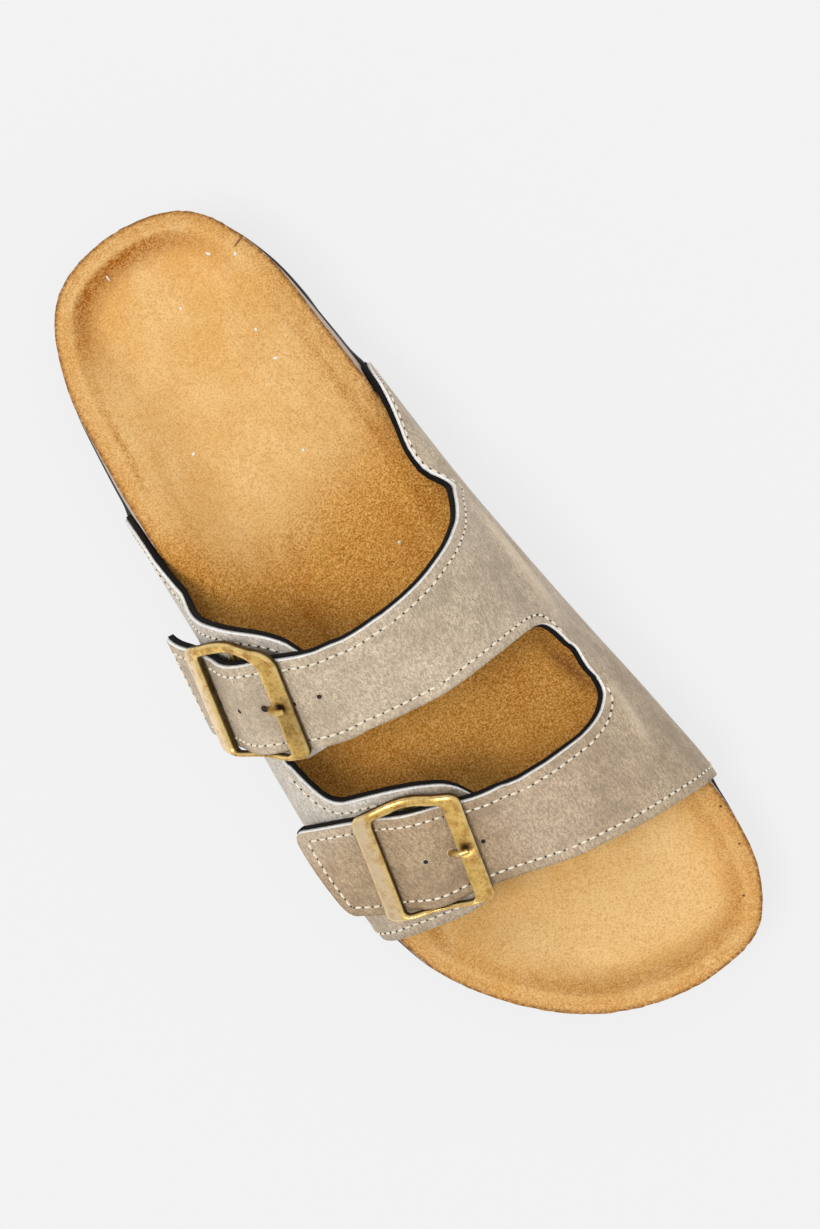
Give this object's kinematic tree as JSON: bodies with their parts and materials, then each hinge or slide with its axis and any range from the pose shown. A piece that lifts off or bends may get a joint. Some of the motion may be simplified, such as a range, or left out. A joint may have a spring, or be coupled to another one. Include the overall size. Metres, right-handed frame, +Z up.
{
  "type": "slip-on sandal",
  "caption": "Slip-on sandal with a contoured cork footbed under a suede insole, a flat rubber outsole, and wide leather straps over the foot held by square metal buckles.",
  "frame": {"origin": "middle of the sandal's box, on the ground under the sole", "axes": "+Y from heel to toe, +X to the lateral side with the buckles, +Z up"},
  "size_m": [0.1155, 0.2822, 0.0888],
  "materials": {
    "outsole_rubber": "matte black moulded sheet",
    "footbed_cork": "sealed pressed cork, pinkish grey",
    "insole_suede": "golden tan suede nap",
    "upper_leather": "smooth taupe leather with a black lining",
    "buckle_brass": "antique brass with brown patina"
  },
  "bodies": {
    "root": {"outsole": "outsole_rubber", "footbed": "footbed_cork", "insole": "insole_suede", "upper": "upper_leather", "buckle_back": "buckle_brass", "buckle_front": "buckle_brass", "prong_back": "buckle_brass", "prong_front": "buckle_brass"}
  },
  "joints": []
}
